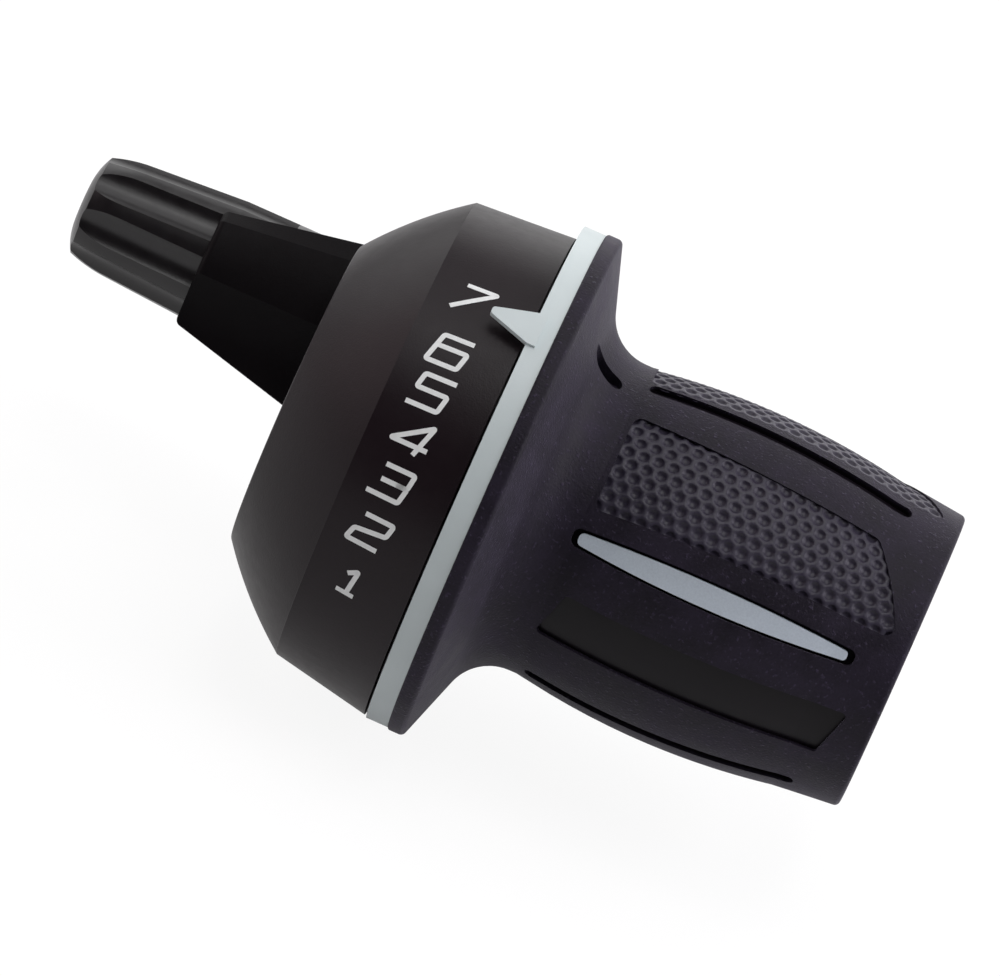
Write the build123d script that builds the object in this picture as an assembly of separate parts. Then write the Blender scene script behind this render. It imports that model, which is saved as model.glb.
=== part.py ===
from build123d import *
import os
from math import atan2, cos, degrees, radians, sin, sqrt, tan

# Twist grip shifter for the right-hand end of a bicycle handlebar, in millimetres.
# X runs along the bar from the housing's inboard face (X = 0) to the open end of the grip.
# Y points forward, away from the rider, and Z up. Angles about the bar run from +Y towards +Z.

# Fits between pieces
RUNNING_FIT = 0.08
NEST_GAP = 0.1
FREE_GAP = 0.3

# Bar sleeve
BAR_DIAMETER = 22.2
BAR_CLEARANCE = 0.05
SLEEVE_WALL = 1.5

# Housing cover: dome, ridge and number band
DOME_LENGTH = 9.2
BAND_LENGTH = 11.0
FACE_WIDTH = 2.75
RIM_ROUND = 0.6
RIDGE_RADIUS = 25.65
MOUTH_RADIUS = 27.05
DOME_SWELL = 0.65
BAND_TILT = 3.3
COVER_WALL = 1.8

# Dial: how far it faces up, and the turn from one gear to the next
DIAL_TILT = 27.5
GEARS = 7
CLICK = 12.4
POINTER_ANGLE = 34.0

# Housing body: floor, cup and hub
FLOOR_WALL = 1.5
CUP_WALL = 1.5
CUP_SETBACK = 2.0
HUB_LENGTH = 7.8
HUB_WALL = 1.5

# Clamp band, screw and nut in the pocket below the bar
BAND_WIDTH = 4.8
BAND_THICKNESS = 1.1
LUG_GAP = 4.4
LUG_THICKNESS = 1.2
LUG_INSET = 0.7
LUG_DROP = 19.9
SCREW_DIAMETER = 3.0
SCREW_DROP = 16.9
HEAD_DIAMETER = 5.5
HEAD_HEIGHT = 3.0
KEY_FLATS = 2.5
NUT_FLATS = 5.5
NUT_THICKNESS = 2.4
POCKET_WALL = 2.0
BOSS_DROP = 20.6
BOSS_INSET = 1.2
CLAMP_TURN = 25.0

# Cover screws
COVER_SCREW_DIAMETER = 1.4
COVER_SCREW_HEAD = 1.8
COVER_SCREW_LENGTH = 5.0
COVER_SCREW_ANGLES = (95.0, 195.0)

# Adjuster axis, hood and knob
SNOUT_RADIUS = 20.05
HOOD_LENGTH = 15.2
HOOD_FRONT = 8.95
HOOD_BACK = 1.0
HOOD_BOW = 1.2
HOOD_FACET = 1.5
HOOD_ROUND = 2.5
HOOD_LIP = 0.7
HOOD_BASE = (-11.45, 5.8, 7.9)
HOOD_END = (-7.75, 4.0, 5.1)
SHANK_RADIUS = 3.4
SHANK_LENGTH = 7.4
WEB_LENGTH = 4.3
WEB_RADIUS = 5.5
KNOB_RADIUS = 7.1
KNOB_SHOULDER_RADIUS = 6.36
KNOB_END_RADIUS = 5.5
KNOB_LENGTH = 24.1
KNOB_STRAIGHT = 9.0
KNOB_SHOULDER = 4.2
KNOB_SWELL = 0.15
KNOB_CROWN = 0.85
KNOB_FLAT = 3.1
FLUTES = 8
FLUTE_TURN = 10.2
FLUTE_START = 3.0
FLUTE_DEPTH = 0.85
FLUTE_SHARE = 0.65
SOCKET_RADIUS = 2.6
SOCKET_DEPTH = 10.0
CABLE_HOLE_RADIUS = 1.0

# Cable guide
GUIDE_RADIUS = 1.7
GUIDE_BEND = 4.4
GUIDE_AIM = 20.0

# Grip core: spool, spring seat, flange and tube
WASHER_THICKNESS = 0.6
CORE_WALL = 1.7
SPOOL_WIDTH = 5.2
SPOOL_WALL = 3.2
SPOOL_GROOVE_WIDTH = 2.0
SPOOL_GROOVE_DEPTH = 1.5
SEAT_WIDTH = 4.4
SEAT_DEPTH = 3.2
FLANGE_STEP = 1.6
FLANGE_RIM = 2.7

# Detent spring
SPRING_STRIP = 0.5
SPRING_WIDTH = 3.2
SPRING_ANGLE = 200.0
SPRING_HALF = 8.0
NOSE_HALF = 1.9
NOSE_RISE = 2.25
NOSE_ROUND = 0.8
NOSE_PLAY = 0.2
NOTCH_RADIUS = 1.3
NOTCH_DEPTH = 0.8

# Indicator ring
RING_WIDTH = 2.45
RING_RADIUS = 28.0
POINTER_LENGTH = 4.6
POINTER_BASE = 4.0
POINTER_TIP = 0.8
POINTER_THICKNESS = 0.55
POINTER_RISE = 0.35

# Rubber grip cover
GRIP_LENGTH = 46.1
RIM_WIDTH = 1.75
RIM_PROUD = 0.2
FLANK_RUN = 3.6
FLANK_ROUND = 5.3
NECK_WALL = 2.95
SWELL_WALL = 4.1
SHOULDER_WALL = 2.7
END_WALL = 1.95
NECK_RUN = 10.0
SHOULDER_RUN = 38.85
SWELL_SHIFT = 0.7
RIM_CORNER = 0.3
END_CORNER = 0.6
GROOVES = 5
GROOVE_TOP = 58.5
GROOVE_STEP = 57.6
GROOVE_SLANT = 2.0
GROOVE_INSET = 0.65
GROOVE_REACH = 1.9
GROOVE_WIDTH = 1.7
GROOVE_DEPTH = 0.75
FLANK_SLOT_ANGLE = 53.7
FLANK_SLOT_START = 4.05
FLANK_SLOT_LENGTH = 4.0
FLANK_SLOT_WIDTH = 1.9
PAD_ANGLE = 24.0
BACK_PAD_SHIFT = 5.0
PAD_INSET = 0.6
PAD_REACH = 2.65
PAD_HALF = 5.75
PAD_SLANT = 5.7
PAD_TAPER = 1.1
PAD_BOW = 0.4
PAD_ROUND = 1.0
PAD_DEPTH = 0.6
NAME_ANGLE = -35.8
NAME_REACH = 4.2
NAME_HALF = 2.95
NAME_SLANT = 1.6
NAME_ROUND = 0.5
NAME_DEPTH = 0.5
LEAF_ANGLE = -6.2
LEAF_INSET = 0.4
LEAF_REACH = 1.6
LEAF_HALF = 1.28
LEAF_BLUNT = 0.65
LEAF_POINT = 0.5
LEAF_PLAY = 0.3
LEAF_POCKET = 0.8
LEAF_DEPTH = 0.9
LEAF_THICKNESS = 0.8

# Retaining ring
RETAINER_THICKNESS = 1.0
RETAINER_DEPTH = 0.5
RETAINER_PLAY = 0.05
RETAINER_RADIUS = 14.1
RETAINER_GAP = 36.0
SLEEVE_MARGIN = 1.2

# Radii built outwards from the bar
bore_r = BAR_DIAMETER / 2 + BAR_CLEARANCE
sleeve_r = bore_r + SLEEVE_WALL
core_in_r = sleeve_r + RUNNING_FIT
core_r = core_in_r + CORE_WALL
band_r = bore_r + BAND_THICKNESS
hub_in_r = band_r + NEST_GAP
hub_r = hub_in_r + HUB_WALL
face_r = hub_r + FACE_WIDTH
spool_r = core_in_r + SPOOL_WALL
grip_in_r = core_r + NEST_GAP / 2

# Stations along the bar
ridge_x = DOME_LENGTH
mouth_x = ridge_x + BAND_LENGTH
ring_x = mouth_x + FREE_GAP
flange_x = ring_x + RING_WIDTH
grip_end_x = flange_x + GRIP_LENGTH
cup_end_x = mouth_x - CUP_SETBACK
core_x = HUB_LENGTH + WASHER_THICKNESS + RUNNING_FIT
spool_end_x = core_x + SPOOL_WIDTH
core_end_x = grip_end_x - 2 * SLEEVE_MARGIN - RETAINER_THICKNESS - WASHER_THICKNESS
outer_washer_x = core_end_x + RUNNING_FIT
retainer_x = outer_washer_x + WASHER_THICKNESS
retainer_out_x = retainer_x + RETAINER_THICKNESS
retainer_in_r = sleeve_r - RETAINER_DEPTH
sleeve_end_x = retainer_out_x + SLEEVE_MARGIN

# Dome slope, and the radius of a line laid a given depth inside it
dome_slope = (RIDGE_RADIUS - face_r) / DOME_LENGTH
dome_angle = atan2(RIDGE_RADIUS - face_r, DOME_LENGTH)
band_pivot = BAND_LENGTH / 4
band_droop = (BAND_LENGTH - band_pivot) * sin(radians(BAND_TILT))
cup_r = min(RIDGE_RADIUS, MOUTH_RADIUS - band_droop) - COVER_WALL - NEST_GAP
cup_in_r = cup_r - CUP_WALL
floor_x = COVER_WALL
floor_in_x = floor_x + FLOOR_WALL


def dome_radius(x, depth):
    """Radius at station x of the dome's slope, moved inwards by depth."""
    return face_r + dome_slope * x - depth / cos(dome_angle)


def dome_station(radius, depth):
    """Station at which that inner slope reaches a radius."""
    return (radius - face_r + depth / cos(dome_angle)) / dome_slope


def turned(*corners):
    """Solid turned about the bar's axis from (x, radius) corners."""
    return revolve(make_face(Polyline(*corners, close=True)), axis=Axis.X)


def tube(x0, x1, r0, r1):
    """Plain tube about the bar's axis."""
    return turned((x0, r0), (x1, r0), (x1, r1), (x0, r1))


def block(x0, x1, y0, y1, z0, z1):
    """Box between two corners."""
    return Pos((x0 + x1) / 2, (y0 + y1) / 2, (z0 + z1) / 2) * Box(x1 - x0, y1 - y0, z1 - z0)


def crosswise(x, z, y0, y1, radius):
    """Round bar parallel to Y."""
    return Pos(x, (y0 + y1) / 2, z) * Rot(90, 0, 0) * Cylinder(radius, y1 - y0)


def save(shape, node):
    """Write one piece as a STEP file."""
    export_step(shape, f"parts/{node}.step")


# The dial frame has its y up the dial and its z straight out of it
facing = Rot(90 - DIAL_TILT, 0, 0)
dial_angle = 180 - DIAL_TILT


def dial_turn(angle):
    """Turn that carries the +Y side to a place on the dial, in degrees above its middle."""
    return Rot(dial_angle - angle, 0, 0)


# Outside of the housing: a swelling dome, and a number band that droops a little as it faces the rider
dome_middle = (face_r + RIDGE_RADIUS) / 2 + DOME_SWELL
dome_outline = make_face([
    Polyline((ridge_x, RIDGE_RADIUS), (mouth_x, dome_radius(mouth_x, 0)), (mouth_x, 0), (0, 0), (0, face_r)),
    ThreePointArc((0, face_r), (ridge_x / 2, dome_middle), (ridge_x, RIDGE_RADIUS)),
])
rim_corner = dome_outline.vertices().sort_by_distance((0, face_r, 0))[0]
dome = revolve(fillet(rim_corner, RIM_ROUND), axis=Axis.X)
band_slope = (MOUTH_RADIUS - RIDGE_RADIUS) / BAND_LENGTH
band_cone = Pos(-band_pivot, 0, 0) * turned(
    (-2 * ridge_x, 0),
    (-2 * ridge_x, RIDGE_RADIUS - 2 * ridge_x * band_slope),
    (2 * BAND_LENGTH, RIDGE_RADIUS + 2 * BAND_LENGTH * band_slope),
    (2 * BAND_LENGTH, 0),
)
shell = dome & facing * Pos(ridge_x + band_pivot, 0, 0) * Rot(0, 0, -BAND_TILT) * band_cone

# Adjuster frame: local z runs out along the adjuster, local x away from the bar
snout = Plane(origin=(0, SNOUT_RADIUS, 0), x_dir=(0, 1, 0), z_dir=(-1, 0, 0))


def on_snout(z0, z1, radius):
    """Round bar along the adjuster's axis."""
    return snout * Pos(0, 0, (z0 + z1) / 2) * Cylinder(radius, z1 - z0)


# Housing body

# Hood section in the dial frame, as offsets from the adjuster's axis
def hood_section(x, low, crease, top, grow):
    """Face across the bar: a box with a bowed front and a sloped facet on its upper front edge."""
    v = SNOUT_RADIUS * sin(radians(DIAL_TILT))
    w = -SNOUT_RADIUS * cos(radians(DIAL_TILT))
    front = w + HOOD_FRONT + grow
    edge = front - HOOD_BOW
    foot = (v + low - grow, edge)
    brow = (v + crease + grow, edge)
    flat = make_face([
        ThreePointArc(foot, (v + (low + crease) / 2, front), brow),
        Polyline(
            brow,
            (v + top + grow, edge - HOOD_FACET),
            (v + top + grow, w - HOOD_BACK - grow),
            (v + low - grow, w - HOOD_BACK - grow),
            foot,
        ),
    ])
    low_corners = flat.vertices().sort_by(Axis.X)[:2]
    flat = fillet(low_corners, HOOD_ROUND)
    return Plane(origin=(x, 0, 0), x_dir=(0, 1, 0), z_dir=(1, 0, 0)) * flat


hood = loft([hood_section(0, *HOOD_BASE, 0), hood_section(-HOOD_LENGTH, *HOOD_END, 0)], ruled=True)
hood = fillet(hood.faces().sort_by(Axis.X)[0].edges(), HOOD_LIP)
hood += extrude(hood_section(0, *HOOD_BASE, 0), DOME_LENGTH - FREE_GAP)
hood = facing * hood

envelope = turned(
    (0, 0),
    (0, hub_r),
    (floor_x, hub_r),
    (floor_x, dome_radius(floor_x, COVER_WALL + NEST_GAP)),
    (dome_station(cup_r, COVER_WALL + NEST_GAP), cup_r),
    (cup_end_x, cup_r),
    (cup_end_x, 0),
)
cavity = turned(
    (floor_in_x, hub_r),
    (floor_in_x, dome_radius(floor_in_x, COVER_WALL + NEST_GAP + CUP_WALL)),
    (dome_station(cup_in_r, COVER_WALL + NEST_GAP + CUP_WALL), cup_in_r),
    (cup_end_x + 1, cup_in_r),
    (cup_end_x + 1, sleeve_r),
    (HUB_LENGTH, sleeve_r),
    (HUB_LENGTH, hub_r),
)
web = on_snout(-DOME_LENGTH, WEB_LENGTH, WEB_RADIUS)
knob_room = on_snout(WEB_LENGTH, WEB_LENGTH + KNOB_LENGTH, KNOB_RADIUS + FREE_GAP)
thread_room = on_snout(WEB_LENGTH - SHANK_LENGTH - 2 * FREE_GAP, WEB_LENGTH + 1, SHANK_RADIUS + RUNNING_FIT)
bar_room = tube(-HOOD_LENGTH - 1, 0, 0, bore_r + FREE_GAP)

# Cable guide: a bent tube from the adjuster's axis towards the spool's groove
groove_x = core_x + SPOOL_WIDTH / 2
groove_r = spool_r - SPOOL_GROOVE_DEPTH
guide_start = WEB_LENGTH - SHANK_LENGTH - 2 * FREE_GAP
guide_bend_z = GUIDE_BEND - groove_x


def bent_tube(section, z_start):
    """Section carried along the adjuster's axis into the cup, then round a quarter bend."""
    stub = Pos(0, 0, guide_bend_z) * extrude(section, z_start - guide_bend_z)
    arc = revolve(section, axis=Axis((GUIDE_BEND, 0, 0), (0, -1, 0)), revolution_arc=90)
    return snout * (stub + Pos(0, 0, guide_bend_z) * Rot(0, 0, -90 - GUIDE_AIM) * arc)


cable_guide = bent_tube(Circle(GUIDE_RADIUS) - Circle(CABLE_HOLE_RADIUS), guide_start)
guide_room = bent_tube(Circle(GUIDE_RADIUS + NEST_GAP), WEB_LENGTH)

# Clamp pocket: worked out below the bar, then turned forward about it
clamp_turn = Rot(CLAMP_TURN, 0, 0)
screw_x = BAND_WIDTH / 2 + 1.0
lug_y = LUG_GAP / 2 + LUG_THICKNESS
pocket_x = screw_x + HEAD_DIAMETER / 2 + FREE_GAP
pocket_y = lug_y + HEAD_HEIGHT + 0.6
boss_x = min(pocket_x + 1.0, HUB_LENGTH - NEST_GAP)
boss_y = pocket_y + POCKET_WALL
boss_z = -hub_r + 1.5
clamp_boss = block(BOSS_INSET, boss_x, -boss_y, boss_y, -BOSS_DROP, boss_z)
clamp_boss &= dome
pocket = block(-1, pocket_x, -pocket_y, pocket_y, -BOSS_DROP - 1, -hub_r - NEST_GAP)
pocket += block(-1, BAND_WIDTH + FREE_GAP, -lug_y - FREE_GAP, lug_y + FREE_GAP, -BOSS_DROP, -bore_r)
key_hole = crosswise(screw_x, -SCREW_DROP, pocket_y - 1, pocket_y + 20, KEY_FLATS * 0.8)

# Screw bosses stand on the floor inside the cup
cover_screw_r = hub_r + NEST_GAP + 0.44 * FACE_WIDTH


def cover_screw_bar(x0, x1, radius):
    """One round bar along X at each cover screw."""
    bars = [Rot(a, 0, 0) * Pos((x0 + x1) / 2, cover_screw_r, 0) * Rot(0, 90, 0) * Cylinder(radius, x1 - x0)
            for a in COVER_SCREW_ANGLES]
    return Part() + bars


screw_boss_x = min(COVER_SCREW_LENGTH + 1.6, HUB_LENGTH)
screw_boss = cover_screw_bar(floor_x, screw_boss_x, COVER_SCREW_DIAMETER / 2 + 1.2)
screw_boss &= envelope
screw_pilot = cover_screw_bar(floor_x - 1, COVER_SCREW_LENGTH + 1.0, COVER_SCREW_DIAMETER / 2 + 0.02)

# Index notches along the inside of the cup, one for each gear
seat_x = spool_end_x + FREE_GAP
notch_r = cup_in_r + NOTCH_DEPTH - NOTCH_RADIUS
notches = Part() + [
    Rot(SPRING_ANGLE + CLICK * i, 0, 0) * Pos(0, notch_r, 0) * Rot(0, 90, 0)
    * Pos(0, 0, seat_x + SEAT_WIDTH / 2) * Cylinder(NOTCH_RADIUS, SEAT_WIDTH)
    for i in range(GEARS)
]

housing_body = envelope + hood + web - cavity
housing_body += tube(cup_end_x - 1, sleeve_end_x, bore_r, sleeve_r)
housing_body += tube(floor_x, HUB_LENGTH, bore_r, hub_r)
housing_body += clamp_turn * clamp_boss
housing_body += screw_boss
housing_body -= tube(-1, sleeve_end_x + 1, 0, bore_r) + tube(-1, BAND_WIDTH + FREE_GAP, 0, hub_in_r)
housing_body -= tube(retainer_x - RETAINER_PLAY, retainer_out_x + RETAINER_PLAY, retainer_in_r, sleeve_r + 1)
housing_body -= knob_room + thread_room
housing_body -= guide_room
housing_body -= bar_room
housing_body -= clamp_turn * pocket
housing_body -= clamp_turn * key_hole
housing_body -= screw_pilot
housing_body -= notches

# Housing cover: the outside, hollowed to fit over the body
mouth_in_r = MOUTH_RADIUS - COVER_WALL
cover_room = turned(
    (floor_x, 0),
    (floor_x, dome_radius(floor_x, COVER_WALL)),
    (dome_station(cup_r + NEST_GAP, COVER_WALL), cup_r + NEST_GAP),
    (mouth_x + 1, max(mouth_in_r, cup_r + NEST_GAP)),
    (mouth_x + 1, 0),
)
housing_cover = shell - cover_room - tube(-1, floor_x + 1, 0, hub_r + NEST_GAP)
hood_room = extrude(hood_section(-1, *HOOD_BASE, NEST_GAP), DOME_LENGTH + 1)
housing_cover -= facing * hood_room
housing_cover -= on_snout(-DOME_LENGTH - 1, WEB_LENGTH, WEB_RADIUS + NEST_GAP)
boss_room_y = boss_y + NEST_GAP
boss_room = block(-1, boss_x + NEST_GAP, -boss_room_y, boss_room_y, -BOSS_DROP - 8, boss_z + NEST_GAP)
housing_cover -= clamp_turn * boss_room
housing_cover -= clamp_turn * key_hole
housing_cover -= cover_screw_bar(-1, floor_x + 1, COVER_SCREW_DIAMETER / 2 + NEST_GAP)
housing_cover -= cover_screw_bar(-1, 0.9, COVER_SCREW_HEAD / 2 + NEST_GAP)
housing_cover = housing_cover.solids().sort_by(SortBy.VOLUME)[-1]

# Cover screws with a cross recess
cover_screws = cover_screw_bar(0.1, 0.9, COVER_SCREW_HEAD / 2)
cover_screws += cover_screw_bar(0.8, COVER_SCREW_LENGTH + 0.6, COVER_SCREW_DIAMETER / 2)
for a in COVER_SCREW_ANGLES:
    for turn in (0, 90):
        cover_screws -= Rot(a, 0, 0) * Pos(0.1, cover_screw_r, 0) * Rot(turn, 0, 0) * Box(0.8, 1.4, 0.35)

# Clamp band: a split ring with two lugs that hang into the pocket
ring_part = tube(0, BAND_WIDTH, bore_r, band_r)
ring_part -= block(-1, HUB_LENGTH, -LUG_GAP / 2, LUG_GAP / 2, -hub_r, 0)
lugs = Part()
for side in (-1, 1):
    y = side * (LUG_GAP + LUG_THICKNESS) / 2
    near = min(y - LUG_THICKNESS / 2, y + LUG_THICKNESS / 2)
    lugs += block(LUG_INSET, BAND_WIDTH, near, near + LUG_THICKNESS, -hub_r - 1, -bore_r)
    lugs += block(LUG_INSET, pocket_x - FREE_GAP, near, near + LUG_THICKNESS, -LUG_DROP, -hub_r - 0.6)
clamp_band = ring_part + lugs - tube(-1, HUB_LENGTH, 0, bore_r)
clamp_band -= crosswise(screw_x, -SCREW_DROP, -lug_y - 1, lug_y + 1, SCREW_DIAMETER / 2 + NEST_GAP)
clamp_band = clamp_turn * clamp_band

# Clamp screw and nut
clamp_screw = crosswise(screw_x, -SCREW_DROP, lug_y, lug_y + HEAD_HEIGHT, HEAD_DIAMETER / 2)
clamp_screw = fillet(clamp_screw.edges().filter_by(GeomType.CIRCLE).sort_by(Axis.Y)[-1], 0.4)
clamp_screw += crosswise(screw_x, -SCREW_DROP, -lug_y - NUT_THICKNESS - 0.4, lug_y + 0.5, SCREW_DIAMETER / 2)
key_socket = Plane(origin=(screw_x, lug_y + HEAD_HEIGHT + 1, -SCREW_DROP), z_dir=(0, -1, 0)) * RegularPolygon(
    KEY_FLATS / 2, 6, major_radius=False)
clamp_screw -= extrude(key_socket, 1 + HEAD_HEIGHT * 0.6, dir=(0, -1, 0))
clamp_screw = clamp_turn * clamp_screw
clamp_nut = block(screw_x - NUT_FLATS / 2, screw_x + NUT_FLATS / 2, -lug_y - NUT_THICKNESS, -lug_y,
                  -SCREW_DROP - NUT_FLATS / 2, -SCREW_DROP + NUT_FLATS / 2)
clamp_nut -= crosswise(screw_x, -SCREW_DROP, -lug_y - NUT_THICKNESS - 1, 0, SCREW_DIAMETER / 2 + 0.02)
clamp_nut = clamp_turn * clamp_nut

# Barrel adjuster: turned knob with flutes, a screwed shank and the cable's way through it
knob_start = WEB_LENGTH + FREE_GAP
knob_end = knob_start + KNOB_LENGTH
knob_mouth = knob_end + KNOB_CROWN
taper_z = knob_start + KNOB_STRAIGHT
shoulder_z = knob_end - KNOB_SHOULDER
shoulder_middle = (KNOB_SHOULDER_RADIUS + KNOB_END_RADIUS) / 2 + KNOB_SWELL
crown_middle = (KNOB_END_RADIUS + KNOB_FLAT) / 2
knob_outline = make_face([
    Polyline(
        (KNOB_FLAT, knob_mouth),
        (0, knob_mouth),
        (0, knob_start - SHANK_LENGTH),
        (SHANK_RADIUS - 0.4, knob_start - SHANK_LENGTH),
        (SHANK_RADIUS, knob_start - SHANK_LENGTH + 0.4),
        (SHANK_RADIUS, knob_start),
        (KNOB_RADIUS - 0.6, knob_start),
        (KNOB_RADIUS, knob_start + 0.6),
        (KNOB_RADIUS, taper_z),
        (KNOB_SHOULDER_RADIUS, shoulder_z),
    ),
    ThreePointArc(
        (KNOB_SHOULDER_RADIUS, shoulder_z),
        (shoulder_middle, knob_end - KNOB_SHOULDER / 2),
        (KNOB_END_RADIUS, knob_end),
    ),
    ThreePointArc(
        (KNOB_END_RADIUS, knob_end),
        (crown_middle, knob_end + 0.65 * KNOB_CROWN),
        (KNOB_FLAT, knob_mouth),
    ),
])
adjuster = Rot(90, 0, 0) * revolve(knob_outline, axis=Axis.Y)

# Each flute is the side of a round bar that leans with the knob's taper
flute_half = radians(180 / FLUTES * FLUTE_SHARE)
chord = KNOB_RADIUS * sin(flute_half)
rise = FLUTE_DEPTH - KNOB_RADIUS * (1 - cos(flute_half))
flute_r = (chord ** 2 + rise ** 2) / (2 * rise)
flute_lean = degrees(atan2(KNOB_RADIUS - KNOB_SHOULDER_RADIUS, shoulder_z - taper_z))
flute_x = KNOB_RADIUS - FLUTE_DEPTH + flute_r
flute_run = KNOB_STRAIGHT - FLUTE_START
straight = Pos(flute_x, 0, taper_z - flute_run / 2) * Cylinder(flute_r, flute_run)
slanted = Rot(0, -flute_lean, 0) * Pos(0, 0, KNOB_LENGTH / 2) * Cylinder(flute_r, KNOB_LENGTH)
slanted = Pos(flute_x, 0, taper_z) * slanted
for i in range(FLUTES):
    turn = Rot(0, 0, FLUTE_TURN + 360 / FLUTES * i)
    adjuster -= turn * straight
    adjuster -= turn * slanted
adjuster -= Pos(0, 0, knob_mouth - SOCKET_DEPTH / 2) * Cylinder(SOCKET_RADIUS, SOCKET_DEPTH)
adjuster -= Pos(0, 0, (knob_end + knob_start - SHANK_LENGTH) / 2) * Cylinder(
    CABLE_HOLE_RADIUS, KNOB_LENGTH + SHANK_LENGTH + 2)
barrel_adjuster = snout * adjuster

# Washers and retaining ring
inner_washer = tube(HUB_LENGTH, HUB_LENGTH + WASHER_THICKNESS, sleeve_r + RUNNING_FIT, hub_r + 0.8)
outer_washer = tube(outer_washer_x, retainer_x, sleeve_r + RUNNING_FIT, core_r - NEST_GAP)
retaining_ring = tube(retainer_x, retainer_out_x, retainer_in_r + RETAINER_PLAY, RETAINER_RADIUS)
gap_half = RETAINER_RADIUS * tan(radians(RETAINER_GAP / 2))
retaining_ring -= block(retainer_x - 1, retainer_out_x + 1, -gap_half, gap_half, -RETAINER_RADIUS - 5, 0)

# Grip core
seat_r = cup_in_r - SEAT_DEPTH
flange_r = RING_RADIUS - FLANGE_RIM
step_x = ring_x
flange_in_r = min(mouth_in_r, cup_r) - FREE_GAP
grip_core = turned(
    (core_x, core_in_r),
    (core_end_x, core_in_r),
    (core_end_x, core_r),
    (flange_x, core_r),
    (flange_x, flange_r),
    (step_x, flange_r),
    (step_x, flange_in_r),
    (step_x - FLANGE_STEP, flange_in_r),
    (step_x - FLANGE_STEP, seat_r),
    (spool_end_x, seat_r),
    (spool_end_x, spool_r),
    (core_x, spool_r),
)
groove_half = SPOOL_GROOVE_WIDTH / 2
grip_core -= tube(groove_x - groove_half, groove_x + groove_half, groove_r, spool_r + 1)
grip_core -= Rot(75, 0, 0) * Pos(core_x + 1.5, groove_r + 1.0, 0) * Rot(0, 90, 0) * Cylinder(1.6, 4.5)

# Detent spring: a strip with a rounded nose, held between two stops on the core's seat
nose_tip = cup_in_r + NOTCH_DEPTH - NOSE_PLAY - SPRING_STRIP / 2 + NOSE_ROUND / 2
nose_foot = nose_tip - NOSE_RISE
spring_end = sqrt(seat_r ** 2 - SPRING_HALF ** 2) + SPRING_STRIP / 2 + NEST_GAP
spring_line = FilletPolyline(
    (-SPRING_HALF, spring_end),
    (-NOSE_HALF, nose_foot),
    (0, nose_tip),
    (NOSE_HALF, nose_foot),
    (SPRING_HALF, spring_end),
    radius=NOSE_ROUND,
)
spring_x = seat_x + (SEAT_WIDTH - SPRING_WIDTH) / 2
spring_plane = Plane(origin=(spring_x, 0, 0), x_dir=(0, 0, -1), z_dir=(1, 0, 0))
spring_strip = extrude(spring_plane * trace(spring_line, line_width=SPRING_STRIP), SPRING_WIDTH)
detent_spring = Rot(SPRING_ANGLE, 0, 0) * spring_strip
stop_z = SPRING_HALF + 1.2
stop_y = sqrt(max(seat_r ** 2 - (stop_z + 0.4) ** 2, 1))
for side in (-1, 1):
    stop = block(seat_x, seat_x + SEAT_WIDTH, stop_y - 1.5, spring_end + 1.4, -0.6, 0.6)
    grip_core += Rot(SPRING_ANGLE, 0, 0) * Pos(0, 0, side * stop_z) * stop

# Indicator ring with a raised pointer that reaches over the number band
pointer_in = RING_RADIUS + POINTER_RISE - POINTER_THICKNESS
pointer_out = RING_RADIUS + POINTER_RISE
pointer_face = make_face(Polyline(
    (ring_x + RING_WIDTH * 0.4, POINTER_BASE / 2),
    (ring_x, POINTER_BASE / 2),
    (ring_x - POINTER_LENGTH, POINTER_TIP / 2),
    (ring_x - POINTER_LENGTH, -POINTER_TIP / 2),
    (ring_x, -POINTER_BASE / 2),
    (ring_x + RING_WIDTH * 0.4, -POINTER_BASE / 2),
    close=True,
))
tip_corners = pointer_face.vertices().sort_by(Axis.X)[:2]
pointer_face = fillet(tip_corners, POINTER_TIP * 0.48)
outward = Plane(origin=(0, 0, 0), x_dir=(1, 0, 0), z_dir=(0, 1, 0))
pointer = extrude(outward.offset(RING_RADIUS - 4) * pointer_face, 8)
pointer &= tube(0, flange_x, pointer_in, pointer_out)
indicator_ring = tube(ring_x, flange_x, flange_r + NEST_GAP, RING_RADIUS) + dial_turn(POINTER_ANGLE) * pointer

# Rubber grip cover: flange, concave flank, swelling barrel and plain end collar
neck_x = flange_x + NECK_RUN
shoulder_x = flange_x + SHOULDER_RUN
swell_x = (neck_x + shoulder_x) / 2 - SWELL_SHIFT
neck_r = grip_in_r + NECK_WALL
swell_r = grip_in_r + SWELL_WALL
shoulder_r = grip_in_r + SHOULDER_WALL
end_r = grip_in_r + END_WALL
flank_x = flange_x + RIM_WIDTH
rim_r = RING_RADIUS + RIM_PROUD
barrel_line = [
    Polyline(
        (grip_end_x, end_r),
        (grip_end_x, grip_in_r),
        (flange_x, grip_in_r),
        (flange_x, rim_r),
        (flank_x, rim_r),
        (flank_x + FLANK_RUN, neck_r),
        (neck_x, neck_r),
    ),
    ThreePointArc((neck_x, neck_r), (swell_x, swell_r), (shoulder_x, shoulder_r)),
    Line((shoulder_x, shoulder_r), (grip_end_x, end_r)),
]
grip_face = make_face(barrel_line)
for corner, size in (
    ((flank_x + FLANK_RUN, neck_r), FLANK_ROUND),
    ((flank_x, rim_r), END_CORNER),
    ((flange_x, rim_r), RIM_CORNER),
    ((grip_end_x, end_r), END_CORNER),
):
    picked = grip_face.vertices().sort_by_distance((corner[0], corner[1], 0))[0]
    grip_face = fillet(picked, size)
grip_cover = revolve(grip_face, axis=Axis.X)


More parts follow.
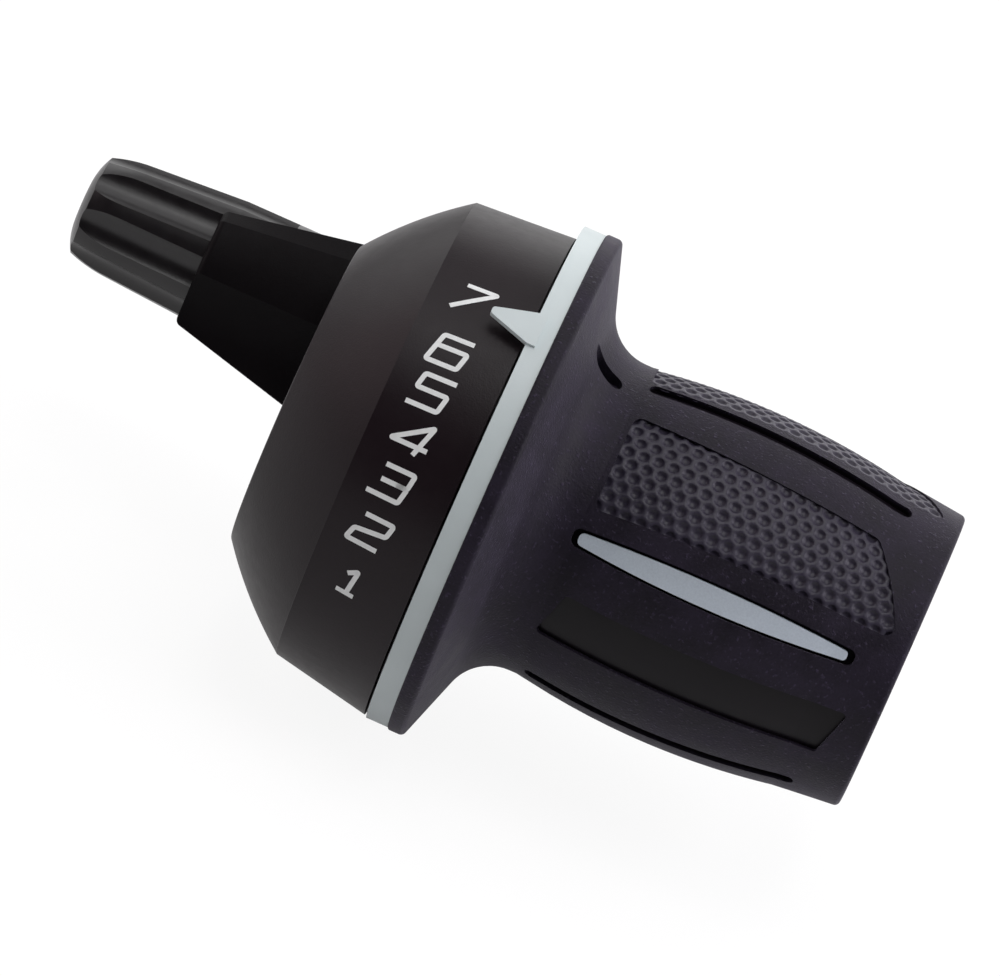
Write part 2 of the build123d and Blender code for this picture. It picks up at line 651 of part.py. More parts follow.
def above_barrel(depth):
    """Everything outside the barrel's surface, lowered by depth."""
    return revolve(make_face([
        Polyline(
            (grip_end_x, end_r - depth),
            (grip_end_x, RING_RADIUS),
            (flange_x, RING_RADIUS),
            (flange_x, neck_r - depth),
            (neck_x, neck_r - depth),
        ),
        ThreePointArc((neck_x, neck_r - depth), (swell_x, swell_r - depth), (shoulder_x, shoulder_r - depth)),
        Line((shoulder_x, shoulder_r - depth), (grip_end_x, end_r - depth)),
    ]), axis=Axis.X)


def panel(flat):
    """Prism through the barrel's wall on the +Y side, from a face seen from outside."""
    return extrude(outward.offset(grip_in_r + FREE_GAP) * flat, RING_RADIUS - grip_in_r)


# Textured pads: the one on the dial side, then one between each two grooves round the back
pad_x = neck_x + PAD_INSET
pad_end = shoulder_x + PAD_SLANT / 2 + PAD_REACH
pad_low = (pad_end, PAD_TAPER / 2 - PAD_HALF)
pad_top = (pad_end - PAD_SLANT, PAD_HALF - 1.5 * PAD_TAPER)
pad_face = make_face([
    Polyline(pad_top, (pad_x, PAD_HALF), (pad_x, -PAD_HALF), pad_low),
    ThreePointArc(pad_low, (pad_end - PAD_SLANT / 2 + PAD_BOW, -PAD_TAPER / 2), pad_top),
])
pad = panel(fillet(pad_face.vertices(), PAD_ROUND))
pad_angles = [PAD_ANGLE]
pad_angles += [GROOVE_TOP + GROOVE_STEP * (i + 0.5) - BACK_PAD_SHIFT for i in range(GROOVES - 1)]
pad_skin = above_barrel(PAD_DEPTH)
for angle in pad_angles:
    grip_cover -= dial_turn(angle) * pad & pad_skin

# Name panel, left bare
name_end = shoulder_x + NAME_REACH
name_face = make_face(Polyline(
    (neck_x, -NAME_HALF),
    (name_end - NAME_SLANT, -NAME_HALF),
    (name_end, NAME_HALF),
    (neck_x + NAME_SLANT, NAME_HALF),
    close=True,
))
name_panel = panel(fillet(name_face.vertices(), NAME_ROUND))
grip_cover -= dial_turn(NAME_ANGLE) * name_panel & above_barrel(NAME_DEPTH)

# Long grooves run from the neck to the shoulder and draw together a little on the dial side
groove_in_x = neck_x + GROOVE_INSET
groove_out_x = shoulder_x + GROOVE_REACH
groove_length = groove_out_x - groove_in_x
groove_slot = SlotOverall(groove_length, GROOVE_WIDTH)
groove_floor = above_barrel(GROOVE_DEPTH)
for i in range(GROOVES):
    slant = GROOVE_SLANT * (2 * i / (GROOVES - 1) - 1)
    groove = panel(Pos(groove_in_x + groove_length / 2, 0, 0) * Rot(0, 0, slant) * groove_slot)
    grip_cover -= dial_turn(GROOVE_TOP + GROOVE_STEP * i) * groove & groove_floor

# One short deep slot in the flank, ahead of the upper groove
slot_x = flange_x + FLANK_SLOT_START + FLANK_SLOT_LENGTH / 2
flank_slot = panel(Pos(slot_x, 0, 0) * SlotOverall(FLANK_SLOT_LENGTH, FLANK_SLOT_WIDTH))
grip_cover -= dial_turn(FLANK_SLOT_ANGLE) * flank_slot & groove_floor

# Leaf inlay in its own pocket
leaf_in_x = neck_x + LEAF_INSET
leaf_out_x = shoulder_x + LEAF_REACH
leaf_mid_x = (leaf_in_x + leaf_out_x) / 2


def leaf(grow, tip):
    """Leaf-shaped prism widened by grow, with its pointed end moved on by tip and its blunt end by half that."""
    blunt = LEAF_BLUNT + grow
    point = LEAF_POINT + grow
    left = leaf_in_x - grow - tip / 2
    right = leaf_out_x + tip
    flat = make_face([
        Line((left, -blunt), (left, blunt)),
        ThreePointArc((left, blunt), (leaf_mid_x, LEAF_HALF + grow), (right, point)),
        Line((right, point), (right, -point)),
        ThreePointArc((right, -point), (leaf_mid_x, -LEAF_HALF - grow), (left, -blunt)),
    ])
    flat = fillet(flat.vertices().sort_by(Axis.X)[:2], 0.85 * blunt)
    flat = fillet(flat.vertices().sort_by(Axis.X)[-2:], 0.85 * point)
    return panel(flat)


leaf_floor = above_barrel(LEAF_DEPTH)
leaf_layer = leaf_floor - above_barrel(LEAF_DEPTH - LEAF_THICKNESS)
grip_cover -= dial_turn(LEAF_ANGLE) * leaf(LEAF_PLAY, LEAF_POCKET) & leaf_floor
leaf_inlay = dial_turn(LEAF_ANGLE) * leaf(0, 0) & leaf_layer

os.makedirs("parts", exist_ok=True)
save(housing_body, "housing_body")
save(housing_cover, "housing_cover")
save(cover_screws, "cover_screws")
save(clamp_band, "clamp_band")
save(clamp_screw, "clamp_screw")
save(clamp_nut, "clamp_nut")
save(barrel_adjuster, "barrel_adjuster")
save(cable_guide, "cable_guide")
save(inner_washer, "inner_washer")
save(outer_washer, "outer_washer")
save(retaining_ring, "retaining_ring")
save(grip_core, "grip_core")
save(detent_spring, "detent_spring")
save(indicator_ring, "indicator_ring")
save(grip_cover, "grip_cover")
save(leaf_inlay, "leaf_inlay")
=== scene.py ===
import math

import bpy
import numpy as np
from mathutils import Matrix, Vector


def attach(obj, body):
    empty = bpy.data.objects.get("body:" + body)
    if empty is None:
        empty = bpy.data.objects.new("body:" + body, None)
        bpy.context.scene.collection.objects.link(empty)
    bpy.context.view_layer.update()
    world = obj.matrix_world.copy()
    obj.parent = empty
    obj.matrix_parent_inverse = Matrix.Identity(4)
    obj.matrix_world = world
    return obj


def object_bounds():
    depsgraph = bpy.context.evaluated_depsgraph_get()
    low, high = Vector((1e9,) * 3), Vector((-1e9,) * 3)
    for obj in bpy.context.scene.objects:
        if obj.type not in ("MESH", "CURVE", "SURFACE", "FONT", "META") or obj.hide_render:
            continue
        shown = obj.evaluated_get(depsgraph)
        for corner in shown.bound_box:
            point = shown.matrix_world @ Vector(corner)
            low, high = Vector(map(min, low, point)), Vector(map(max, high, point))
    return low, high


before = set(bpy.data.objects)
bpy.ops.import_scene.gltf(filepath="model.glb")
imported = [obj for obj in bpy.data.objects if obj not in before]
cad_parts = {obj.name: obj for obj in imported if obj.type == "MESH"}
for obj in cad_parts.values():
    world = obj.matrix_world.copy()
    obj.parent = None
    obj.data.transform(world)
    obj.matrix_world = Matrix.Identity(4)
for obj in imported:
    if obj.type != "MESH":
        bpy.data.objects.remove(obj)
cad_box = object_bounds()


# Housing body: one black nylon moulding with the bar sleeve, the cable chamber and the hood
# that takes the adjuster. Its skin has the fine satin grain of an eroded mould.
class Wire:
    """A shader socket. Sums and products of wires add Math nodes, and node() adds any other node."""

    def __init__(self, tree, socket=None):
        self.tree = tree
        self.socket = socket

    def node(self, kind, settings, sockets, out=0):
        """Add a node, set its settings, then fill its sockets with values or with links."""
        made = self.tree.nodes.new(kind)
        for name, value in settings.items():
            if name == "stops":
                while len(made.color_ramp.elements) < len(value):
                    made.color_ramp.elements.new(1.0)
                for element, (place, level) in zip(made.color_ramp.elements, value):
                    element.position = place
                    element.color = (level, level, level, 1.0)
            else:
                setattr(made, name, value)
        for key, value in sockets.items():
            if isinstance(value, Wire):
                self.tree.links.new(value.socket, made.inputs[key])
            else:
                made.inputs[key].default_value = value
        return Wire(self.tree, made.outputs[out])

    def math(self, operation, first, second):
        return self.node("ShaderNodeMath", {"operation": operation}, {0: first, 1: second})

    def __add__(self, other):
        return self.math("ADD", self, other)

    def __radd__(self, other):
        return self.math("ADD", other, self)

    def __sub__(self, other):
        return self.math("SUBTRACT", self, other)

    def __rsub__(self, other):
        return self.math("SUBTRACT", other, self)

    def __mul__(self, other):
        return self.math("MULTIPLY", self, other)

    def __rmul__(self, other):
        return self.math("MULTIPLY", other, self)

    def place(self):
        """Object coordinates, in metres."""
        return self.node("ShaderNodeTexCoord", {}, {}, "Object")

    def noise(self, size, detail=2.0):
        """Soft noise whose grains are about size metres across."""
        return self.node("ShaderNodeTexNoise", {}, {"Vector": self.place(), "Scale": 1 / size, "Detail": detail})

    def steps(self, *stops):
        """Ramp of grey levels at given places."""
        return self.node("ShaderNodeValToRGB", {"stops": stops}, {"Fac": self})

    def tint(self, low, high):
        """Colour between low and high."""
        return self.node("ShaderNodeMix", {"data_type": "RGBA"}, {0: self, 6: (*low, 1), 7: (*high, 1)}, 2)

    def relief(self, depth):
        """Surface normal of a relief that is depth metres high."""
        return self.node("ShaderNodeBump", {}, {"Strength": 1.0, "Distance": depth, "Height": self}, "Normal")

    def into(self, socket):
        self.tree.links.new(self.socket, socket)


def finish(name, **fixed):
    """Principled material with its constant sockets set. Gives the material, a wire and the sockets."""
    made = bpy.data.materials.new(name)
    made.use_nodes = True
    sockets = made.node_tree.nodes["Principled BSDF"].inputs
    for key, value in fixed.items():
        sockets[key.replace("_", " ")].default_value = value
    return made, Wire(made.node_tree), sockets


def dress(material, *names):
    """Put a material on CAD nodes."""
    for name in names:
        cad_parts[name].data.materials.clear()
        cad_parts[name].data.materials.append(material)


body_black, wire, into = finish("body_black", Specular_IOR_Level=0.08)
wire.noise(0.004).tint((0.0027, 0.0018, 0.0025), (0.0046, 0.0034, 0.0043)).into(into["Base Color"])
(0.46 + 0.10 * wire.noise(0.0022)).into(into["Roughness"])
wire.noise(0.00022).relief(0.000012).into(into["Normal"])
dress(body_black, "housing_body")


# Clamp band: a strip of steel rolled into a split ring with two folded lugs. Rolling leaves
# fine streaks round the ring, and the zinc plating is a little cloudy.
band_steel, wire, into = finish("band_steel", Metallic=1.0)
streaks = wire.node(
    "ShaderNodeTexNoise",
    {},
    {
        "Vector": wire.node("ShaderNodeMapping", {}, {"Vector": wire.place(), "Scale": (9000, 500, 500)}),
        "Scale": 1.0,
        "Detail": 3.0,
    },
)
streaks.tint((0.42, 0.42, 0.43), (0.62, 0.62, 0.63)).into(into["Base Color"])
(0.28 + 0.22 * wire.noise(0.003)).into(into["Roughness"])
streaks.relief(0.000004).into(into["Normal"])
dress(band_steel, "clamp_band")


# Clamp screw, its square nut and the two cover screws: bright plated steel, turned and rolled.
# The plating is smooth, with a few darker clouds where hands have touched it.
screw_steel, wire, into = finish("screw_steel", Metallic=1.0)
wire.noise(0.0015, 3.0).tint((0.36, 0.36, 0.37), (0.60, 0.60, 0.61)).into(into["Base Color"])
(0.20 + 0.20 * wire.noise(0.0008)).into(into["Roughness"])
wire.noise(0.0004).relief(0.000005).into(into["Normal"])
dress(screw_steel, "clamp_screw", "clamp_nut", "cover_screws")


# Cable guide and the two thrust washers: white acetal, slippery and slightly waxy.
# They are moulded, so they carry only a soft mottle.
guide_white, wire, into = finish("guide_white")
wire.noise(0.002).tint((0.66, 0.65, 0.61), (0.76, 0.75, 0.71)).into(into["Base Color"])
(0.38 + 0.10 * wire.noise(0.001)).into(into["Roughness"])
wire.noise(0.0003).relief(0.000004).into(into["Normal"])
dress(guide_white, "cable_guide", "inner_washer", "outer_washer")


# Retaining ring and detent spring: blue-grey spring steel strip, rolled and oiled.
# The oil leaves a fine, darker mottle on it.
spring_steel, wire, into = finish("spring_steel", Metallic=1.0)
wire.noise(0.0012, 4.0).tint((0.26, 0.27, 0.29), (0.42, 0.42, 0.43)).into(into["Base Color"])
(0.26 + 0.18 * wire.noise(0.0006)).into(into["Roughness"])
wire.noise(0.0002).relief(0.000004).into(into["Normal"])
dress(spring_steel, "retaining_ring", "detent_spring")


# Housing cover: a charcoal shell with a sloped dome and the band of gear numbers, screwed on
# from its inboard face. The mould gives it a dry, fine matt skin with faint flow clouds.
cover_grey, wire, into = finish("cover_grey", Specular_IOR_Level=0.19)
clouds = wire.noise(0.006, 3.0)
clouds.tint((0.0085, 0.0046, 0.0066), (0.0118, 0.0072, 0.0094)).into(into["Base Color"])
(0.33 + 0.10 * wire.noise(0.0015)).into(into["Roughness"])
(wire.noise(0.00018) + 0.5 * wire.noise(0.0006)).relief(0.000014).into(into["Normal"])
dress(cover_grey, "housing_cover")


# Gear numbers: pale ink printed on the band, one squarish slanted figure for each click.
# Each stroke is a thin raised ribbon of ink that follows the band's drooping cone.
RIDGE = (9.2, 25.65)
MOUTH = (20.2, 27.05)
BAND_TILT = math.radians(3.3)
FACING = 152.5
NUMBER_X = 13.78
NUMBER_ANGLES = {7: 37.6, 6: 22.8, 5: 12.2, 4: 1.5, 3: -9.9, 2: -22.2, 1: -35.8}
INK_WIDTH = 0.52
INK_HEIGHT = 0.03
INK_ROOT = -0.02
INK_STEP = 0.05
INK_WINDOW = 11
FIGURES = {
    1: [[(-0.45, 0.85), (0.6, 1.55), (0.15, -1.52)], [(-1.0, -1.52), (1.0, -1.52)]],
    2: [[(-1.1, 1.62), (2.1, 1.62), (1.75, 0.2), (-1.65, -0.25), (-2.1, -1.62), (1.4, -1.62)]],
    3: [[(-1.2, 1.62), (2.05, 1.62), (1.8, 0.03), (-1.1, 0.03)],
        [(0.6, 0.03), (1.8, 0.03), (1.45, -1.62), (-2.1, -1.62)]],
    4: [[(2.1, -0.88), (-1.95, -0.88), (1.95, 1.62), (0.85, -1.75)]],
    5: [[(2.1, 1.7), (-1.3, 1.7), (-1.65, 0.1), (1.75, 0.1), (1.35, -1.7), (-2.1, -1.7)]],
    6: [[(2.05, 1.62), (-1.2, 1.62), (-2.05, -1.62), (1.35, -1.62), (1.8, 0.28), (-1.5, 0.28)]],
    7: [[(-1.25, 1.68), (2.05, 1.68), (-2.05, -1.65)]],
}


def band_radius(x, angle):
    """Radius of the band, found in a few steps: its cone droops about a point a quarter of the way along it."""
    slope = (MOUTH[1] - RIDGE[1]) / (MOUTH[0] - RIDGE[0])
    run = (MOUTH[0] - RIDGE[0]) / 4
    away = x - RIDGE[0] - run
    radius = RIDGE[1] + 0 * angle
    for _ in range(5):
        up = radius * np.sin(angle)
        along = away * math.cos(BAND_TILT) - up * math.sin(BAND_TILT)
        lifted = away * math.sin(BAND_TILT) + up * math.cos(BAND_TILT)
        radius = radius * (RIDGE[1] + slope * (run + along)) / np.hypot(lifted, radius * np.cos(angle))
    return radius


def on_band(x, angle, height):
    """Point on the band: x along the bar, angle up the dial in radians, height above the cone."""
    radius = band_radius(x, angle) + height
    turn = math.radians(FACING) - angle
    return np.stack([x, radius * np.cos(turn), radius * np.sin(turn)], -1) / 1000


def ink_line(corners):
    """Line through the corners, cut fine and averaged over a short window, which rounds its corners."""
    corners = np.array(corners, float)
    reach = np.r_[0, np.cumsum(np.hypot(*np.diff(corners, axis=0).T))]
    along = np.linspace(0, reach[-1], int(reach[-1] / INK_STEP) + 2)
    line = np.stack([np.interp(along, reach, corners[:, k]) for k in (0, 1)], -1)
    half = INK_WINDOW // 2
    line = np.pad(line, ((half, half), (0, 0)), mode="reflect", reflect_type="odd")
    window = np.ones(INK_WINDOW) / INK_WINDOW
    return np.stack([np.convolve(line[:, k], window, "valid") for k in (0, 1)], -1)


def ink_ribbon(corners, angle):
    """Box section carried along a figure's line: half a width to each side, from just inside the cone up."""
    line = ink_line(corners)
    run = np.gradient(line, axis=0)
    side = np.stack([-run[:, 1], run[:, 0]], -1) / np.hypot(*run.T)[:, None]
    across = np.array([-0.5, -0.5, 0.5, 0.5]) * INK_WIDTH
    height = np.array([INK_ROOT, INK_HEIGHT, INK_HEIGHT, INK_ROOT])
    flat = line[:, None, :] + side[:, None, :] * across[None, :, None]
    middle = math.radians(angle)
    turns = middle + flat[..., 1] / band_radius(NUMBER_X, middle)
    spots = on_band(NUMBER_X + flat[..., 0], turns, height[None, :])
    rows = np.arange(len(line) - 1)[:, None] * 4
    ring = np.arange(4)[None, :]
    ahead = (ring + 1) % 4
    walls = np.stack([rows + ring, rows + 4 + ring, rows + 4 + ahead, rows + ahead], -1).reshape(-1, 4)
    last = 4 * (len(line) - 1)
    ends = np.array([[0, 1, 2, 3], [last + 3, last + 2, last + 1, last]])
    return spots.reshape(-1, 3), np.concatenate([walls, ends])


def join(shapes):
    """Several (points, faces) arrays as one pair, with the later faces counted on."""
    starts = np.cumsum([0] + [len(points) for points, _ in shapes[:-1]])
    return (
        np.concatenate([points for points, _ in shapes]),
        np.concatenate([faces + start for (_, faces), start in zip(shapes, starts)]),
    )


def piece(name, points, faces, material, body, slot, smooth):
    """Mesh object that rides on a body. Points that agree to a ten-thousandth of a millimetre are merged."""
    spots, merged = np.unique(np.round(points, 7), axis=0, return_inverse=True)
    mesh = bpy.data.meshes.new(name)
    mesh.from_pydata(spots.tolist(), [], merged.ravel()[faces].tolist())
    mesh.polygons.foreach_set("use_smooth", np.full(len(mesh.polygons), smooth))
    mesh.materials.append(material)
    made = bpy.data.objects.new(name, mesh)
    bpy.context.scene.collection.objects.link(made)
    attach(made, body)
    return made


number_ink, wire, into = finish("number_ink")
wire.noise(0.0005, 3.0).tint((0.68, 0.70, 0.69), (0.82, 0.84, 0.83)).into(into["Base Color"])
(0.5 + 0.12 * wire.noise(0.0004)).into(into["Roughness"])
ribbons = [ink_ribbon(line, NUMBER_ANGLES[gear]) for gear, lines in FIGURES.items() for line in lines]
piece("gear_numbers", *join(ribbons), number_ink, "housing", "cover_grey", False)


# Barrel adjuster: a black fluted knob on a screwed shank. It is moulded in a polished tool,
# so it shines more than the body, with soft scuffs from fingers.
adjuster_black, wire, into = finish("adjuster_black", Specular_IOR_Level=0.5)
wire.noise(0.003).tint((0.0052, 0.0038, 0.0048), (0.0090, 0.0072, 0.0085)).into(into["Base Color"])
(0.24 + 0.16 * wire.noise(0.0012, 4.0)).into(into["Roughness"])
wire.noise(0.0005).relief(0.000006).into(into["Normal"])
dress(adjuster_black, "barrel_adjuster")


# Grip core: the black plastic tube that turns on the sleeve and carries spool, spring and flange.
# It is hidden but for its open end, and keeps the plain satin skin of its mould.
core_black, wire, into = finish("core_black", Specular_IOR_Level=0.4)
wire.noise(0.003).tint((0.010, 0.010, 0.010), (0.016, 0.016, 0.016)).into(into["Base Color"])
(0.42 + 0.14 * wire.noise(0.001)).into(into["Roughness"])
wire.noise(0.0003).relief(0.000008).into(into["Normal"])
dress(core_black, "grip_core")


# Indicator ring: light grey plastic with a greenish cast, pressed on the core's flange.
# Its raised pointer reaches over the band to the gear that is in use.
indicator_grey, wire, into = finish("indicator_grey", Specular_IOR_Level=0.4)
wire.noise(0.005, 3.0).tint((0.48, 0.54, 0.54), (0.54, 0.60, 0.60)).into(into["Base Color"])
(0.44 + 0.10 * wire.noise(0.001)).into(into["Roughness"])
wire.noise(0.00025).relief(0.000008).into(into["Normal"])
dress(indicator_grey, "indicator_ring")


# Rubber grip: moulded over the core, dark with a violet cast. Its skin is a fine dry grain with
# paler dusty specks. Grooves and the bare panel are smoother, and deep in them a near-black painted shade is mixed
# into the colour.
NECK = (32.95, 17.43)
SWELL = (46.675, 18.58)
SHOULDER = (61.8, 17.18)
OPEN_END = (69.05, 16.43)
TAPER = (SHOULDER[1] - OPEN_END[1]) / (OPEN_END[0] - SHOULDER[0])
RECESS_START = 0.25
RECESS_DEEP = 0.45


def barrel_circle():
    """Middle and radius of the circle through neck, swell and shoulder, from two linear equations."""
    spots = np.array([NECK, SWELL, SHOULDER])
    middle = np.linalg.solve(2 * (spots[1:] - spots[0]), (spots[1:] ** 2).sum(1) - (spots[0] ** 2).sum())
    return middle, np.hypot(*(spots[0] - middle))


def recess(wire):
    """How far a point lies in a recess, from its depth below barrel_radius: 0 near the skin, 1 when deep."""
    middle, reach = barrel_circle()
    x = wire.node("ShaderNodeSeparateXYZ", {}, {0: wire.place()}, 0)
    spread = wire.node("ShaderNodeVectorMath", {"operation": "MULTIPLY"}, {0: wire.place(), 1: (0, 1, 1)})
    radius = wire.node("ShaderNodeVectorMath", {"operation": "LENGTH"}, {0: spread}, "Value")
    arced = x.math("MINIMUM", x, SHOULDER[0] / 1000)
    run = 1000 * arced - middle[0]
    rest = reach ** 2 - run * run
    skin = middle[1] + rest.math("POWER", rest, 0.5) - 1000 * TAPER * (x - arced)
    deep = skin - 1000 * radius
    return wire.node("ShaderNodeMapRange", {}, {"Value": deep, "From Min": RECESS_START, "From Max": RECESS_DEEP})


SHEEN = {"Sheen_Weight": 0.11, "Sheen_Roughness": 0.4, "Sheen_Tint": (0.86, 0.80, 1, 1)}
grip_rubber, wire, into = finish("grip_rubber", Specular_IOR_Level=0.17, **SHEEN)
grain = wire.noise(0.00028, 3.0)
specks = wire.noise(0.00045, 2.0).steps((0.60, 0.0), (0.74, 1.0))
dust = wire.noise(0.0045, 4.0).steps((0.38, 0.0), (0.66, 1.0))
mottle = 0.24 * dust + 0.25 * grain + 0.6 * specks
skin = mottle.tint((0.0034, 0.0021, 0.0049), (0.0320, 0.0240, 0.0465))
# Painted shade: the deeper a point lies below the skin, the more near-black colour is mixed in.
recess_shade = recess(wire)
colour = wire.node("ShaderNodeMix", {"data_type": "RGBA"}, {0: recess_shade, 6: skin, 7: (0.0018, 0.0006, 0.0018, 1)}, 2)
colour.into(into["Base Color"])
(0.50 + 0.10 * wire.noise(0.002) + 0.08 * dust - 0.24 * recess_shade).into(into["Roughness"])
((grain + 0.7 * specks) * (1 - recess_shade)).relief(0.000060).into(into["Normal"])
dress(grip_rubber, "grip_cover")


# Grip pads: a honeycomb of round dimples fills each recessed pad, moulded in one with the rubber.
# Its layer lies a little below the skin, and runs on under the skin round the pad.
PAD_CORNERS = ((33.55, -5.75), (67.3, -5.2), (61.6, 4.1), (33.55, 5.75))
PAD_ANGLES = (24.0, 82.3, 139.9, 197.5, 255.1)
DIMPLE_PITCH = 1.65
DIMPLE_ROWS = np.arange(-6, 7)
DIMPLE_STEPS = np.arange(-2, 24)
DIMPLE_MARGIN = 1.0
DIMPLE_SIDES = 12
DIMPLE_RINGS = ((0.66, -0.22), (0.60, -0.26), (0.52, -0.42))
DIMPLE_PEAK = -0.17
DIMPLE_FLOOR = -0.47


def barrel_radius(x):
    """Barrel's radius: its circle as far as the shoulder, then a straight taper to the end."""
    middle, reach = barrel_circle()
    arced = np.minimum(x, SHOULDER[0])
    return middle[1] + np.sqrt(reach ** 2 - (arced - middle[0]) ** 2) - TAPER * (x - arced)


def pad_cells():
    """Centres (x, across) of a close-packed lattice that lie inside the pad's outline or just past it."""
    row, step = np.meshgrid(DIMPLE_ROWS, DIMPLE_STEPS, indexing="ij")
    x = PAD_CORNERS[0][0] + DIMPLE_PITCH * (step + 0.5 * (row % 2))
    across = row * DIMPLE_PITCH * math.sqrt(3) / 2
    inside = np.full(x.shape, True)
    for start, end in zip(PAD_CORNERS, PAD_CORNERS[1:] + PAD_CORNERS[:1]):
        edge = np.array(end) - np.array(start)
        left = edge[0] * (across - start[1]) - edge[1] * (x - start[0])
        inside &= left > -DIMPLE_MARGIN * np.hypot(*edge)
    return x[inside], across[inside]


def pad_layer(angle):
    """Hexagon cells with a round dimple each: rings of points from a cell's edge over the rim to a shallow floor."""
    x, across = pad_cells()
    side = np.arange(DIMPLE_SIDES)
    corner = side % 2 == 1
    rim = DIMPLE_RINGS[0][1]
    reach = np.r_[
        np.where(corner, DIMPLE_PITCH / math.sqrt(3), DIMPLE_PITCH / 2),
        np.repeat([radius for radius, _ in DIMPLE_RINGS], DIMPLE_SIDES),
        0,
    ]
    high = np.r_[
        np.where(corner, DIMPLE_PEAK, rim),
        np.repeat([level for _, level in DIMPLE_RINGS], DIMPLE_SIDES),
        DIMPLE_FLOOR,
    ]
    turn = np.r_[np.tile(side, 1 + len(DIMPLE_RINGS)), 0] * 2 * np.pi / DIMPLE_SIDES
    along = x[:, None] + reach * np.cos(turn)
    place = math.radians(FACING - angle) - (across[:, None] + reach * np.sin(turn)) / SWELL[1]
    radius = barrel_radius(along) + high
    points = np.stack([along, radius * np.cos(place), radius * np.sin(place)], -1) / 1000
    ahead = (side + 1) % DIMPLE_SIDES
    walls = [
        np.stack([side, ahead, ahead + DIMPLE_SIDES, side + DIMPLE_SIDES], -1) + k * DIMPLE_SIDES
        for k in range(len(DIMPLE_RINGS))
    ]
    last = len(DIMPLE_RINGS) * DIMPLE_SIDES
    middle = 0 * side + len(turn) - 1
    floor = np.stack([middle, last + side, last + ahead, last + (ahead + 1) % DIMPLE_SIDES], -1)[::2]
    cell = np.concatenate(walls + [floor])
    starts = np.arange(len(x))[:, None, None] * len(turn)
    return points.reshape(-1, 3), (cell[None] + starts).reshape(-1, 4)


pad_rubber, wire, into = finish("pad_rubber", Specular_IOR_Level=0.30, **SHEEN)
grain = wire.noise(0.00028, 3.0)
mottle = 0.35 * wire.noise(0.007, 3.0) + 0.45 * grain
mottle.tint((0.0085, 0.0065, 0.0120), (0.0420, 0.0355, 0.0600)).into(into["Base Color"])
(0.38 + 0.14 * wire.noise(0.002)).into(into["Roughness"])
grain.relief(0.000025).into(into["Normal"])
pads = [pad_layer(angle) for angle in PAD_ANGLES]
piece("grip_dimples", *join(pads), pad_rubber, "grip", "grip_rubber", True)


# Leaf inlay: a thin silver plastic leaf snapped in its pocket in the rubber.
# It is sprayed with fine metallic paint, so it glints in soft grains.
leaf_silver, wire, into = finish("leaf_silver", Metallic=0.55)
wire.noise(0.00022, 2.0).tint((0.60, 0.67, 0.75), (0.76, 0.84, 0.92)).into(into["Base Color"])
(0.34 + 0.14 * wire.noise(0.0008)).into(into["Roughness"])
wire.noise(0.0002).relief(0.000006).into(into["Normal"])
dress(leaf_silver, "leaf_inlay")


# Studio: a wide pale floor under the part, large soft lamps above it and round it, strongest at the
# outboard end, and the camera at the photograph's angle.
FLOOR_REACH = 20.0
FLOOR_WHITE = 1.08
FLOOR_GLOW = 0.84
FLOOR_GLOSS = 0.5
low = cad_box[0][2]
corners = [(FLOOR_REACH * x, FLOOR_REACH * y, low) for x, y in ((-1, -1), (1, -1), (1, 1), (-1, 1))]
floor_mesh = bpy.data.meshes.new("floor")
floor_mesh.from_pydata(corners, [], [(0, 1, 2, 3)])
floor = bpy.data.objects.new("floor", floor_mesh)
bpy.context.scene.collection.objects.link(floor)
floor_white = bpy.data.materials.new("floor_white")
floor_white.use_nodes = True
floor_white.node_tree.nodes.clear()
wire = Wire(floor_white.node_tree)
seen = wire.node("ShaderNodeLightPath", {}, {}, "Is Camera Ray")
seen = seen.math("MAXIMUM", seen, wire.node("ShaderNodeLightPath", {}, {}, "Is Transmission Ray"))
seen = seen.math("MAXIMUM", seen, FLOOR_GLOSS * wire.node("ShaderNodeLightPath", {}, {}, "Is Glossy Ray"))
paper = wire.node("ShaderNodeBsdfDiffuse", {}, {"Color": (0.62, 0.62, 0.62, 1)})
glow = wire.node("ShaderNodeEmission", {}, {"Color": (1, 1, 1, 1), "Strength": FLOOR_WHITE})
mixed = wire.node("ShaderNodeMixShader", {}, {0: FLOOR_GLOW * seen, 1: paper, 2: glow})
out = floor_white.node_tree.nodes.new("ShaderNodeOutputMaterial")
mixed.into(out.inputs["Surface"])
floor_mesh.materials.append(floor_white)

world = bpy.data.worlds.new("studio")
world.use_nodes = True
bpy.context.scene.world = world
wire = Wire(world.node_tree)
height = wire.node("ShaderNodeSeparateXYZ", {}, {0: wire.node("ShaderNodeTexCoord", {}, {}, "Generated")}, 2)
walls = height.steps((0.04, 0.05), (0.22, 0.01))
walls.into(world.node_tree.nodes["Background"].inputs["Color"])


LAMP_AIM = (0.03, 0, 0)


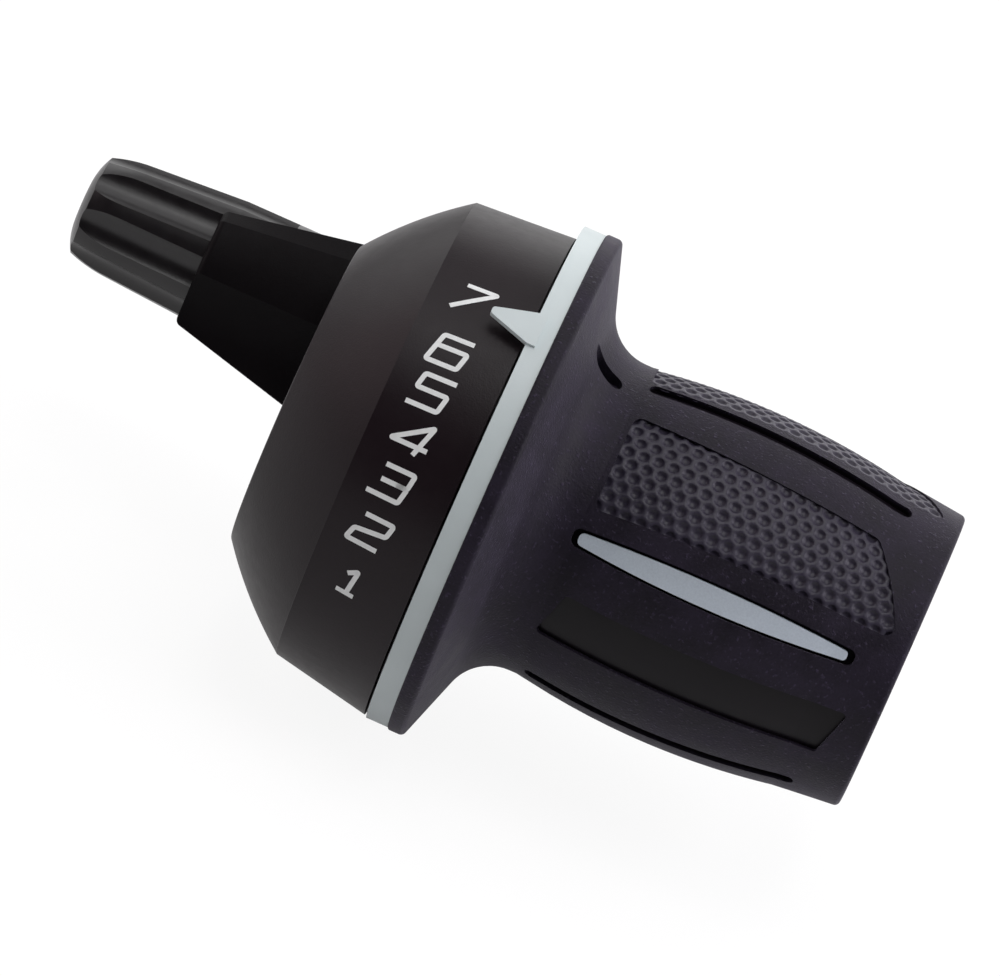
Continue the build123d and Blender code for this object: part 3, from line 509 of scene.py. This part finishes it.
def lamp(name, spot, width, power, colour=(1, 1, 1)):
    """Square soft lamp at a spot, turned to the part's middle."""
    light = bpy.data.lights.new(name, "AREA")
    light.size = width
    light.energy = power
    light.color = colour
    made = bpy.data.objects.new(name, light)
    bpy.context.scene.collection.objects.link(made)
    made.location = spot
    away = np.array(spot) - np.array(LAMP_AIM)
    flat = math.hypot(away[0], away[1])
    made.rotation_euler = (math.atan2(flat, away[2]), 0, math.atan2(away[0], -away[1]))


lamp("above", (0.03, 0.15, 1.00), 0.8, 3.2)
lamp("above_camera", (0.05, -0.25, 0.80), 0.45, 2.4)
lamp("outboard", (0.95, 0.00, 0.45), 0.8, 9.4, (0.95, 0.92, 1.0))
lamp("outboard_ahead", (0.75, 0.60, 0.50), 0.8, 2.7)
lamp("inboard", (-0.90, 0.00, 0.45), 0.8, 2.8, (1.0, 0.84, 0.86))
lamp("inboard_ahead", (-0.65, 0.65, 0.50), 0.8, 3.2)
lamp("ahead", (0.03, 0.95, 0.40), 0.8, 3.2)

# Camera: level with the dial's middle and a little outboard of the part, as in the photograph.
# It is rolled, so that the bar runs down to the right.
VIEW_ANGLE = math.radians(27.5)
ROLL = math.radians(24.0)
STAND_X = 0.05112
DISTANCE = 1.09
AIM_X = 0.02347
AIM_DROP = 0.00049
towards = np.array([0, -math.cos(VIEW_ANGLE), math.sin(VIEW_ANGLE)])
up_dial = np.array([0, math.sin(VIEW_ANGLE), math.cos(VIEW_ANGLE)])
along_bar = np.array([1.0, 0, 0])
stand = STAND_X * along_bar + DISTANCE * towards
aim = AIM_X * along_bar - AIM_DROP * up_dial
ahead = (aim - stand) / np.linalg.norm(aim - stand)
right = math.cos(ROLL) * along_bar + math.sin(ROLL) * up_dial
right = right - (right @ ahead) * ahead
right = right / np.linalg.norm(right)
upward = np.cross(right, ahead)
lens = bpy.data.cameras.new("camera")
lens.lens = 377
lens.sensor_width = 36
lens.clip_start = 0.01
camera = bpy.data.objects.new("camera", lens)
bpy.context.scene.collection.objects.link(camera)
pose = np.eye(4)
pose[:3, 0] = right
pose[:3, 1] = upward
pose[:3, 2] = -ahead
pose[:3, 3] = stand
camera.matrix_world = [tuple(column) for column in pose.T]
bpy.context.scene.camera = camera
bpy.context.scene.view_settings.view_transform = "Standard"
